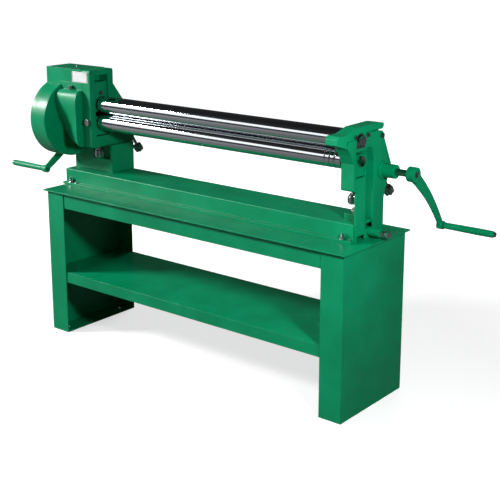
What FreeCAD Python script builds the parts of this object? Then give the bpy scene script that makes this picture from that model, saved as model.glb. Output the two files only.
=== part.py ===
import FreeCAD, Part
import Sketcher
import math
import os
import re

# Slip roll machine on a sheet-steel stand: two geared front rolls, one rear
# forming roll, a gear housing at the left and a release gate at the right.
# Frame: +X along the rolls to the gate end, +Y to the rear, +Z up, with the
# origin on the floor under the middle of the stand.

# Driving dimensions, in millimetres, degrees and tooth counts
SIZES = {
    # How far a cutting tool runs past the face it opens
    "over": 1,
    # Stand
    "stand_length": 1600,
    "stand_depth": 425,
    "leg_height": 655,
    "leg_flange": 100,
    "leg_sheet": 4,
    "anchor_inset": 50,
    "anchor_radius": 7,
    "apron_drop": 69,
    "apron_flange": 40,
    "apron_sheet": 3,
    "shelf_height": 288,
    "shelf_lip": 48,
    "shelf_sheet": 3,
    "plate_over": 14,
    "plate_thick": 6,
    # Bed channel
    "bed_over_left": 29,
    "bed_width": 197,
    "bed_front": 73,
    "bed_rise": 69,
    "bed_wall": 12,
    "bed_foot": 22,
    "bed_foot_thick": 10,
    "hold_bolt_radius": 6,
    "hold_bolt_left": 42,
    "hold_bolt_right": 40,
    "hold_screw_radius": 4,
    "hold_screw_aside": 35,
    "end_bolt_radius": 8,
    "end_bolt_height": 26,
    "end_bar_thick": 12,
    "end_bar_in": 40,
    "end_boss_radius": 17,
    "end_boss_reach": 54,
    # Frames
    "left_inset": 191,
    "left_wall": 52,
    "right_inset": 105,
    "right_wall": 57,
    "pedestal_step": 22,
    "pedestal_front": 7,
    "left_pedestal_front": 12,
    "left_pedestal_wall": 12,
    "alcove_in": 44,
    "alcove_depth": 40,
    "alcove_floor": 58,
    "alcove_cheek": 15,
    "pedestal_back": 124,
    "right_pedestal_front": 27,
    "right_foot_front": 22,
    "right_foot_thick": 24,
    "cheek_thick": 5.5,
    "cheek_front": 69,
    "cheek_notch_front": 57,
    "cheek_notch_back": 4,
    "cheek_notch_high": 20,
    "foot_thick": 12,
    "foot_bolt_across": 20,
    "foot_bolt_in": 24,
    "foot_bolt_height": 11,
    "lock_bolt_across": 26,
    "lock_bolt_height": 14,
    "lock_bolt_in": 2,
    "boss_rise": 125,
    "haunch_back": 60,
    "haunch_up": 17,
    "haunch_low_back": 33,
    "haunch_low_drop": 50,
    "waist_drop": 107,
    "left_head_front": 69,
    "left_head_back": 70,
    "left_head_rise": 155,
    "left_shoulder_rise": 87,
    "left_shoulder_front": 16,
    "left_shoulder_up": 18,
    "right_boss_front": 43,
    "right_boss_up": 6,
    "right_head_front": 86,
    "right_head_up": 57,
    "right_nose_front": 64,
    "right_nose_up": 29,
    "step_front": 68,
    "step_back": 15,
    "step_gap": 2,
    "hinge_flat": 8,
    "hinge_cheek_up": 5,
    "hinge_cheek_down": 7,
    "corner_round": 10,
    "left_window": 78,
    "left_window_rise": 131,
    "right_window": 60,
    "window_low": 48,
    "right_window_up": 37,
    "shaft_boss_radius": 42,
    "recess_depth": 44,
    "recess_front": 39,
    "recess_back": 92,
    "recess_top_back": 72,
    "recess_foot": 30,
    "recess_high_drop": 12,
    "recess_top_up": 45,
    # Rolls
    "front_back": 42,
    "lower_rise": 236,
    "roll_radius": 38.1,
    "pinch_gap": 0.8,
    "roll_end_gap": 3,
    "roll_chamfer": 1,
    "gear_overhang": 12,
    "bull_overhang": 10,
    "journal_radius": 20,
    "shoulder_radius": 28,
    "shoulder_length": 7,
    "journal_reach": 9,
    "rear_journal_radius": 14,
    "groove_small": 3,
    "groove_middle": 4,
    "groove_large": 5,
    "groove_pitch": 22,
    "groove_inset": 48,
    # Bearing blocks
    "slide_gap": 0.3,
    "run_gap": 0.05,
    "block_side": 4,
    "lower_block_up": 24,
    "lower_drop": 3,
    "lower_stop_gap": 2,
    "upper_block_down": 30,
    "upper_block_up": 100,
    "upper_block_width": 36,
    "block_bolt_up": 51,
    "block_bolt_height": 8,
    "saddle_half": 28,
    "saddle_thick": 8,
    "saddle_in": 1,
    "split_up": 6,
    "split_gap": 0.5,
    # Rear roll slide
    "rear_back": 132,
    "rear_up": 16,
    "slide_angle": 57,
    "rear_travel_up": 50,
    "rear_travel_down": 22,
    "rear_block_half": 22,
    "rear_block_up": 24,
    "rear_block_down": 30,
    "rear_stop_gap": 3,
    "rear_pocket_depth": 45,
    "rear_pocket_gap": 2,
    "rear_boss_radius": 17,
    "rear_boss_reach": 125,
    "rear_knob_reach": 206,
    # Adjusting screws and star knobs
    "screw_radius": 8,
    "rear_screw_radius": 7,
    "screw_gap": 0.1,
    "screw_entry": 9,
    "socket_gap": 0.3,
    "rear_screw_entry": 13,
    "knob_radius": 22,
    "knob_height": 36,
    "knob_drop": 36,
    "knob_collar": 5,
    "knob_lobes": 6,
    "knob_notch": 6,
    "locknut_radius": 13,
    # Gears
    "gear_module": 4,
    "bull_teeth": 64,
    "pinion_teeth": 16,
    "roll_gear_teeth": 19,
    "roll_mesh_gap": 1,
    "drive_mesh_gap": 3.5,
    "backlash": 0.5,
    "pressure_angle": 20,
    "drive_fall": 20.6,
    "roll_gear_inset": 7,
    "roll_gear_width": 30,
    "bull_gear_inset": 30,
    "bull_gear_width": 36,
    "bull_rim": 14,
    "bull_web": 12,
    "bull_hub_radius": 38,
    "bull_hole_radius": 20,
    "bull_holes": 6,
    # Gear housing
    "case_wall": 6,
    "case_hole_gap": 6,
    "case_length": 135,
    "case_rise": 97,
    "bulge_front": 108,
    "bulge_top": 64,
    "bulge_chin": 30,
    "bulge_round": 20,
    "bulge_sweep": 96,
    "bulge_ledge": 7,
    "guard_radius": 174,
    "guard_wall": 5,
    "guard_length": 94,
    "guard_lobe": 52,
    "guard_screw_across": 13,
    "guard_screw_height": 6,
    "guard_screws": 6,
    "guard_screw_turn": 70,
    "cover_wall": 5,
    "cover_skirt": 24,
    "plate_width": 98,
    "plate_height": 46,
    "plate_sheet": 1.5,
    "plate_aside": 10,
    "plate_up": 25,
    "oil_cup_radius": 9,
    "oil_cup_gap": 1,
    "oil_cup_height": 14,
    "oil_cup_stem": 5,
    "oil_cup_aside": 72,
    "plug_radius": 8,
    "plug_height": 5,
    "plug_aside": 19,
    "plug_back": 15,
    # Drive shaft and cranks
    "shaft_radius": 13,
    "shaft_gap": 0.5,
    "bushing_radius": 27,
    "bushing_flange": 34,
    "flange_thick": 8,
    "bushing_length": 60,
    "left_bushing_reach": 14,
    "left_shaft_out": 60,
    "right_shaft_out": 148,
    "hub_radius": 29,
    "hub_width": 32,
    "right_crank_length": 333,
    "left_crank_length": 288,
    "right_crank_angle": 46.5,
    "left_crank_angle": 41.5,
    "crank_bow": 15,
    "arm_wide": 27,
    "arm_narrow": 15,
    "arm_thick": 9,
    "eye_over": 3,
    "arm_end_radius": 17,
    "grip_radius": 12.5,
    "grip_swell": 1.5,
    "grip_swell_at": 145,
    "grip_chamfer": 2,
    "spindle_gap": 0.5,
    "grip_length": 211,
    "grip_gap": 4,
    "spindle_radius": 7,
    "spindle_head": 10,
    "spindle_cap": 5,
    # Release gate
    "gate_side": 2,
    "hinge_back": 138,
    "hinge_pin_radius": 6,
    "hinge_hub_radius": 14,
    "hinge_ear_radius": 18,
    "hinge_ear": 16,
    "arch_rise": 25,
    "cap_radius": 27,
    "gate_nose": 151,
    "gate_nose_high": 22,
    "gate_brow_back": 11,
    "gate_brow_up": 33,
    "gate_crest_front": 24,
    "gate_crest_up": 50,
    "gate_tail_front": 20,
    "gate_tail_up": 52,
    "gate_end_back": 15,
    "gate_end_up": 46,
    "gate_heel_back": 18,
    "gate_heel_up": 36,
    "gate_toe_back": 12,
    "gate_toe_up": 27,
    "gate_step_gap": 10,
    "gate_web_half": 7.5,
    "knuckle_half": 8.5,
    "knuckle_room": 40,
    "knuckle_gap": 0.5,
    "pin_head": 8,
    "pin_tail": 2,
    "pin_head_across": 19,
    "gate_bolt_across": 15,
    "gate_bolt_height": 7,
    "gate_bolt_front": 40,
    "gate_bolt_back": 42,
    "gate_bolt_up": 17,
}

# Places that follow from the driving dimensions
PLACES = {
    "plate_top": "leg_height + plate_thick",
    "bed_left": "stand_length / 2 + bed_over_left",
    "bed_right": "stand_length / 2 - right_inset + right_wall - cheek_thick",
    "bed_top": "plate_top + bed_rise",
    "bed_back": "bed_width - bed_front",
    "front_y": "0 - front_back",
    "lower_z": "bed_top + lower_rise",
    "upper_z": "lower_z + 2 * roll_radius + pinch_gap",
    "rear_y": "front_y + rear_back",
    "rear_z": "lower_z + rear_up",
    "drive_centres": "gear_module * (bull_teeth + pinion_teeth) / 2 + drive_mesh_gap",
    "shaft_y": "front_y + drive_centres * cos(drive_fall)",
    "shaft_z": "lower_z - drive_centres * sin(drive_fall)",
    "left_inside": "stand_length / 2 - left_inset",
    "right_inside": "stand_length / 2 - right_inset",
    "left_outside": "left_inside + left_wall",
    "right_outside": "right_inside + right_wall",
    "case_end": "left_outside + case_length",
    "guard_end": "case_end + guard_length",
    "roll_gear_start": "left_outside + roll_gear_inset",
    "bull_gear_start": "case_end + bull_gear_inset",
    "left_shaft_end": "guard_end + left_shaft_out",
    "right_shaft_end": "right_outside + right_shaft_out",
    "case_top": "upper_z + case_rise",
    "left_head_top": "upper_z + left_head_rise",
    "left_window_top": "upper_z + left_window_rise",
    "boss_bottom": "bed_top + boss_rise",
    "window_bottom": "boss_bottom + window_low",
    "lower_block_bottom": "window_bottom + lower_drop + lower_stop_gap",
    "split_z": "upper_z + split_up",
    "hinge_y": "front_y + hinge_back",
    "rear_slot_top": "rear_travel_up + rear_block_up + rear_stop_gap",
    "rear_slot_low": "rear_travel_down + rear_block_down + rear_stop_gap",
    "roll_gear_module": "(upper_z - lower_z - roll_mesh_gap) / roll_gear_teeth",
}

SIDES = ("left", "right")

doc = FreeCAD.newDocument("SlipRoll")
sheet = doc.addObject("Spreadsheet::Sheet", "Sizes")
for row, (word, number) in enumerate(SIZES.items(), start=1):
    sheet.set(f"A{row}", str(number))
    sheet.setAlias(f"A{row}", word)
doc.recompute()

pieces = []


def formula(text):
    """Spell an expression out until it reads only cells of the sheet."""
    def spell(match):
        word = match.group(0)
        if word in PLACES:
            return "(" + formula(PLACES[word]) + ")"
        if word in SIZES:
            return "Sizes." + word
        return word
    return re.sub(r"[a-z][a-z_]+", spell, str(text))


def value(text):
    """The number that an expression has now."""
    return float(sheet.evalExpression(formula(text)))


def bind(item, prop, text):
    item.setExpression(prop, formula(text))


def piece(item, label):
    """Give a finished sub-part the label that names its file."""
    item.Label = label
    pieces.append(item)
    return item


# Part primitives and booleans

def block(name, x_span, y_span, z_span):
    item = doc.addObject("Part::Box", name)
    spans = (("Length", "x", x_span), ("Width", "y", y_span), ("Height", "z", z_span))
    for side, axis, (low, high) in spans:
        bind(item, side, f"({high}) - ({low})")
        bind(item, "Placement.Base." + axis, low)
    return item


TURNS = {
    "x": (FreeCAD.Vector(0, 1, 0), 90),
    "y": (FreeCAD.Vector(1, 0, 0), -90),
    "z": (FreeCAD.Vector(0, 0, 1), 0),
}


def rod(name, axis, start, end, centre, radius):
    """Cylinder along x, y or z from start to end, at centre on the other two axes."""
    item = doc.addObject("Part::Cylinder", name)
    bind(item, "Radius", radius)
    bind(item, "Height", f"({end}) - ({start})")
    turn_axis, turn = TURNS[axis]
    item.Placement.Rotation = FreeCAD.Rotation(turn_axis, turn)
    others = [word for word in "xyz" if word != axis]
    bind(item, "Placement.Base." + axis, start)
    for word, text in zip(others, centre):
        bind(item, "Placement.Base." + word, text)
    return item


def slide_rod(name, x, start, end, radius):
    """Cylinder along the rear slide, start and end measured up from the rear roll's rest."""
    item = doc.addObject("Part::Cylinder", name)
    bind(item, "Radius", radius)
    bind(item, "Height", f"({end}) - ({start})")
    item.Placement.Rotation = FreeCAD.Rotation(FreeCAD.Vector(1, 0, 0), 1)
    bind(item, "Placement.Rotation.Angle", "90 - slide_angle")
    bind(item, "Placement.Base.x", x)
    bind(item, "Placement.Base.y", f"rear_y - ({start}) * cos(slide_angle)")
    bind(item, "Placement.Base.z", f"rear_z + ({start}) * sin(slide_angle)")
    return item


def hexagon(name, axis, start, end, centre, across):
    """Hexagonal prism along x, y or z, for a bolt head or a nut."""
    item = doc.addObject("Part::Prism", name)
    item.Polygon = 6
    bind(item, "Circumradius", f"({across}) / sqrt(3)")
    bind(item, "Height", f"({end}) - ({start})")
    turn_axis, turn = TURNS[axis]
    item.Placement.Rotation = FreeCAD.Rotation(turn_axis, turn)
    others = [word for word in "xyz" if word != axis]
    bind(item, "Placement.Base." + axis, start)
    for word, text in zip(others, centre):
        bind(item, "Placement.Base." + word, text)
    return item


def join(name, items):
    item = doc.addObject("Part::MultiFuse", name)
    item.Shapes = items
    item.Refine = True
    return item


def cut(name, base, tools):
    item = doc.addObject("Part::Cut", name)
    item.Base = base
    item.Tool = tools[0] if len(tools) == 1 else join(name + "Tools", tools)
    item.Refine = True
    return item


# PartDesign bodies

def sketch_on(body, name, role, offset="0"):
    plane = next(part for part in body.Origin.OriginFeatures if part.Role == role)
    item = body.newObject("Sketcher::SketchObject", name)
    item.AttachmentSupport = [(plane, "")]
    item.MapMode = "FlatFace"
    bind(item, "AttachmentOffset.Base.z", offset)
    return item


def outline(item, corners):
    """Closed outline through corners, each held by two bound distances."""
    spots = [FreeCAD.Vector(value(u), value(v), 0) for u, v in corners]
    first = item.GeometryCount
    count = len(spots)
    for index, spot in enumerate(spots):
        item.addGeometry(Part.LineSegment(spot, spots[(index + 1) % count]), False)
    for index, (u, v) in enumerate(corners):
        line = first + index
        following = first + (index + 1) % count
        item.addConstraint(Sketcher.Constraint("Coincident", line, 2, following, 1))
        for kind, text in (("DistanceX", u), ("DistanceY", v)):
            number = item.addConstraint(Sketcher.Constraint(kind, line, 1, value(text)))
            item.setExpression(f"Constraints[{number}]", formula(text))


def ring(item, centre, radius):
    """Circle held by its centre and radius."""
    spot = FreeCAD.Vector(value(centre[0]), value(centre[1]), 0)
    number = item.addGeometry(Part.Circle(spot, FreeCAD.Vector(0, 0, 1), value(radius)), False)
    for kind, text in (("DistanceX", centre[0]), ("DistanceY", centre[1])):
        held = item.addConstraint(Sketcher.Constraint(kind, number, 3, value(text)))
        item.setExpression(f"Constraints[{held}]", formula(text))
    held = item.addConstraint(Sketcher.Constraint("Radius", number, value(radius)))
    item.setExpression(f"Constraints[{held}]", formula(radius))


def pad(body, name, role, start, end, corners):
    """Solid from start to end along the plane's normal."""
    profile = sketch_on(body, name + "Sketch", role, start)
    outline(profile, corners)
    item = body.newObject("PartDesign::Pad", name)
    item.Profile = profile
    bind(item, "Length", f"({end}) - ({start})")
    body.Tip = item
    return item


def pocket(body, name, role, start, end, corners=None, rings=()):
    """Cut from end back to start along the plane's normal, and check that it cuts."""
    profile = sketch_on(body, name + "Sketch", role, end)
    if corners:
        outline(profile, corners)
    for centre, radius in rings:
        ring(profile, centre, radius)
    doc.recompute()
    before = body.Shape.Volume
    item = body.newObject("PartDesign::Pocket", name)
    item.Profile = profile
    bind(item, "Length", f"({end}) - ({start})")
    body.Tip = item
    doc.recompute()
    if body.Shape.Volume >= before:
        raise RuntimeError(name + " cuts nothing")
    return item


def soften(body, name, radius, chosen):
    """Round the edges of the body that the test picks."""
    doc.recompute()
    edges = [f"Edge{number}" for number, edge in enumerate(body.Shape.Edges, start=1) if chosen(edge)]
    base = body.Tip
    item = body.newObject("PartDesign::Fillet", name)
    item.Base = (base, edges)
    bind(item, "Radius", radius)
    body.Tip = item
    doc.recompute()
    return item


def along_x(edge):
    """A straight edge parallel to the rolls."""
    if edge.Curve.TypeId != "Part::GeomLine":
        return False
    return abs(abs(edge.tangentAt(edge.FirstParameter).x) - 1) < 1e-6


def near(edge, spots):
    """Whether an edge along X passes close to one of the named corners in Y and Z."""
    middle = edge.CenterOfMass
    return any(math.hypot(middle.y - value(y), middle.z - value(z)) < 0.5 for y, z in spots)


def revolve(name, corners, centre):
    """Turned piece along X from a half profile of X and radius."""
    body = doc.addObject("PartDesign::Body", name)
    profile = sketch_on(body, name + "Sketch", "XY_Plane")
    outline(profile, corners)
    item = body.newObject("PartDesign::Revolution", name + "Turn")
    item.Profile = profile
    item.ReferenceAxis = (profile, ["H_Axis"])
    item.Angle = 360
    body.Tip = item
    bind(body, "Placement.Base.y", centre[0])
    bind(body, "Placement.Base.z", centre[1])
    return body


# Stand: two folded end pans, aprons, shelf and top plate

def leg(side, sign):
    """Folded pan: end panel with flanges turned in on all four edges."""
    body = doc.addObject("PartDesign::Body", side.title() + "Leg")
    half = "stand_length / 2"
    inner = f"{half} - leg_flange"
    low, high = (inner, half) if sign > 0 else (f"0 - {half}", f"0 - ({inner})")
    back = "stand_depth / 2"
    square = [(f"0 - {back}", "0"), (back, "0"), (back, "leg_height"), (f"0 - {back}", "leg_height")]
    pad(body, side + "LegPan", "YZ_Plane", low, high, square)
    inset = [
        (f"0 - {back} + leg_sheet", "leg_sheet"),
        (f"{back} - leg_sheet", "leg_sheet"),
        (f"{back} - leg_sheet", "leg_height - leg_sheet"),
        (f"0 - {back} + leg_sheet", "leg_height - leg_sheet"),
    ]
    if sign > 0:
        pocket(body, side + "LegHollow", "YZ_Plane", low, f"{high} - leg_sheet", inset)
    else:
        pocket(body, side + "LegHollow", "YZ_Plane", f"{low} + leg_sheet", high, inset)
    anchor_x = f"{sign} * ({half} - anchor_inset)"
    anchors = [((anchor_x, f"{turn} * ({back} - anchor_inset)"), "anchor_radius") for turn in (-1, 1)]
    pocket(body, side + "LegAnchors", "XY_Plane", "0", "leg_sheet", rings=anchors)
    piece(body, side + "_leg")


def apron(name, turn):
    """Angle rail under the top plate, behind the leg flanges."""
    body = doc.addObject("PartDesign::Body", name.title().replace("_", ""))
    inside = f"{turn} * (stand_depth / 2 - leg_sheet)"
    face = f"{turn} * (stand_depth / 2 - leg_sheet - apron_sheet)"
    edge = f"{turn} * (stand_depth / 2 - leg_sheet - apron_flange)"
    top = "leg_height - leg_sheet"
    corners = [
        (inside, "leg_height - apron_drop"),
        (inside, top),
        (edge, top),
        (edge, f"{top} - apron_sheet"),
        (face, f"{top} - apron_sheet"),
        (face, "leg_height - apron_drop"),
    ]
    end = "stand_length / 2 - leg_sheet"
    pad(body, name + "Angle", "YZ_Plane", f"0 - ({end})", end, corners)
    piece(body, name)


def shelf():
    """Tray turned lip down, standing between the end panels."""
    body = doc.addObject("PartDesign::Body", "Shelf")
    front = "stand_depth / 2 - leg_sheet"
    low = "shelf_height - shelf_lip"
    under = "shelf_height - shelf_sheet"
    corners = [
        (f"0 - ({front})", low),
        (f"0 - ({front})", "shelf_height"),
        (front, "shelf_height"),
        (front, low),
        (f"{front} - shelf_sheet", low),
        (f"{front} - shelf_sheet", under),
        (f"0 - ({front} - shelf_sheet)", under),
        (f"0 - ({front} - shelf_sheet)", low),
    ]
    end = "stand_length / 2 - leg_sheet"
    pad(body, "ShelfTray", "YZ_Plane", f"0 - ({end})", end, corners)
    piece(body, "shelf")


def stand():
    leg("left", -1)
    leg("right", 1)
    apron("front_apron", -1)
    apron("rear_apron", 1)
    shelf()
    half = "stand_length / 2 + plate_over"
    back = "stand_depth / 2 + plate_over"
    top = block("StandPlate", (f"0 - ({half})", half), (f"0 - ({back})", back), ("leg_height", "plate_top"))
    piece(top, "stand_top")


# Bed: inverted channel with outward feet, bolted to the top plate

def bed():
    body = doc.addObject("PartDesign::Body", "Bed")
    front = "0 - bed_front"
    corners = [
        (f"{front} - bed_foot", "plate_top"),
        (f"{front} - bed_foot", "plate_top + bed_foot_thick"),
        (front, "plate_top + bed_foot_thick"),
        (front, "bed_top"),
        ("bed_back", "bed_top"),
        ("bed_back", "plate_top + bed_foot_thick"),
        ("bed_back + bed_foot", "plate_top + bed_foot_thick"),
        ("bed_back + bed_foot", "plate_top"),
        ("bed_back - bed_wall", "plate_top"),
        ("bed_back - bed_wall", "bed_top - bed_wall"),
        (f"{front} + bed_wall", "bed_top - bed_wall"),
        (f"{front} + bed_wall", "plate_top"),
    ]
    pad(body, "BedChannel", "YZ_Plane", "0 - bed_left", "bed_right", corners)
    spots = [(front, "bed_top"), ("bed_back", "bed_top")]
    soften(body, "BedRound", "bed_wall / 3", lambda edge: along_x(edge) and near(edge, spots))
    piece(body, "bed")
    bolts = []
    screws = []
    foot_top = "plate_top + bed_foot_thick"
    ends = ("0 - bed_left + hold_bolt_left", "bed_right - hold_bolt_right")
    for y in (f"{front} - bed_foot / 2", "bed_back + bed_foot / 2"):
        for x in ends:
            number = str(len(bolts) + 1)
            stud = rod("HoldStud" + number, "z", foot_top, f"{foot_top} + 4 * hold_bolt_radius", (x, y),
                       "hold_bolt_radius")
            nut = hexagon("HoldNut" + number, "z", foot_top, f"{foot_top} + 1.6 * hold_bolt_radius",
                          (x, y), "3 * hold_bolt_radius")
            bolts.append(join("HoldBolt" + number, [stud, nut]))
            head = f"{foot_top} + 1.5 * hold_screw_radius"
            screws.append(hexagon("HoldScrew" + number, "z", foot_top, head, (f"{x} + hold_screw_aside", y),
                                  "3 * hold_screw_radius"))
    for name, links, label in (("HoldBolts", bolts, "bed_bolts"), ("HoldScrews", screws, "bed_screws")):
        group = doc.addObject("Part::Compound", name)
        group.Links = links
        piece(group, label)


def end_bolt():
    """Cross bar in the channel's right end, and the hex bolt and nut on the right frame's boss."""
    front = "0 - bed_front + bed_wall"
    back = "bed_back - bed_wall"
    middle = "(bed_back - bed_front) / 2"
    height = "plate_top + end_bolt_height"
    bar = block("EndBar", ("bed_right - end_bar_in - end_bar_thick", "bed_right - end_bar_in"), (front, back),
                ("plate_top + bed_foot_thick", "bed_top - bed_wall"))
    piece(bar, "bed_end_bar")
    end = "right_outside + end_boss_reach"
    shank = rod("EndShank", "x", end, f"{end} + 4 * end_bolt_radius", (middle, height), "end_bolt_radius")
    nut = hexagon("EndNut", "x", end, f"{end} + 1.6 * end_bolt_radius", (middle, height),
                  "3.2 * end_bolt_radius")
    head = hexagon("EndHead", "x", f"{end} + 3 * end_bolt_radius", f"{end} + 4.4 * end_bolt_radius",
                   (middle, height), "3.2 * end_bolt_radius")
    piece(join("EndBolt", [shank, nut, head]), "end_bolt")


# Frames: the two castings that carry the rolls

def along_slide(reach, aside):
    """A spot along the rear slide, reach up it and aside to the rear of it."""
    return (
        f"rear_y - ({reach}) * cos(slide_angle) + ({aside}) * sin(slide_angle)",
        f"rear_z + ({reach}) * sin(slide_angle) + ({aside}) * cos(slide_angle)",
    )


def rear_slot():
    half = "rear_block_half + slide_gap"
    return [
        along_slide("0 - rear_slot_low", f"0 - ({half})"),
        along_slide("0 - rear_slot_low", half),
        along_slide("rear_slot_top", half),
        along_slide("rear_slot_top", f"0 - ({half})"),
    ]


def left_frame():
    body = doc.addObject("PartDesign::Body", "LeftFrameCasting")
    outside = "0 - left_outside"
    inside = "0 - left_inside"
    head_front = "front_y - left_head_front"
    head_back = "front_y + left_head_back"
    corners = [
        ("pedestal_front", "bed_top"),
        ("pedestal_front", "boss_bottom"),
        (head_front, "boss_bottom"),
        (head_front, "left_head_top"),
        (head_back, "left_head_top"),
        (head_back, "upper_z + left_shoulder_rise"),
        ("hinge_y - left_shoulder_front", "upper_z + left_shoulder_up"),
        ("shaft_y + haunch_back", "shaft_z + haunch_up"),
        ("shaft_y + haunch_low_back", "shaft_z - haunch_low_drop"),
        ("pedestal_back", "shaft_z - waist_drop"),
        ("pedestal_back", "bed_top"),
    ]
    pad(body, "LeftWall", "YZ_Plane", outside, inside, corners)
    column = [
        ("0 - left_pedestal_front", "bed_top"),
        ("pedestal_back", "bed_top"),
        ("pedestal_back", "boss_bottom"),
        ("0 - left_pedestal_front", "boss_bottom"),
    ]
    pad(body, "LeftColumn", "YZ_Plane", "0 - bed_left", f"{inside} + pedestal_step", column)
    window = [
        ("front_y - left_window / 2", "window_bottom"),
        ("front_y + left_window / 2", "window_bottom"),
        ("front_y + left_window / 2", "left_window_top"),
        ("front_y - left_window / 2", "left_window_top"),
    ]
    pocket(body, "LeftWindow", "YZ_Plane", outside, inside, window)
    pocket(body, "LeftRearSlot", "YZ_Plane", f"{inside} - rear_pocket_depth", f"{inside} + over", rear_slot())
    screw_x = "0 - left_inside - left_wall / 2"
    pocket(body, "LeftScrewHole", "XY_Plane", "boss_bottom", "window_bottom",
           rings=[((screw_x, "front_y"), "screw_radius + screw_gap")])
    spots = [(head_front, "boss_bottom"), (head_front, "left_head_top"), (head_back, "left_head_top")]
    soften(body, "LeftRounds", "corner_round", lambda edge: along_x(edge) and near(edge, spots))
    alcove = block("LeftAlcove", (f"{outside} - alcove_in", f"{inside} + pedestal_step - alcove_cheek"),
                   ("0 - left_pedestal_front - over", "alcove_depth - left_pedestal_front"),
                   ("bed_top + alcove_floor", "boss_bottom"))
    room = block("LeftColumnRoom",
                 ("left_pedestal_wall - bed_left", f"{outside} - alcove_in - left_pedestal_wall"),
                 ("left_pedestal_wall - left_pedestal_front", "pedestal_back + over"),
                 ("bed_top + foot_thick", "boss_bottom - left_pedestal_wall"))
    round_drum = rod("LeftDrumRoom", "x", "0 - bed_left - over", "guard_wall - case_end",
                     ("front_y", "lower_z"), "guard_radius + split_gap")
    finish_frame(body, "left", -1, [room, round_drum, alcove])


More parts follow.
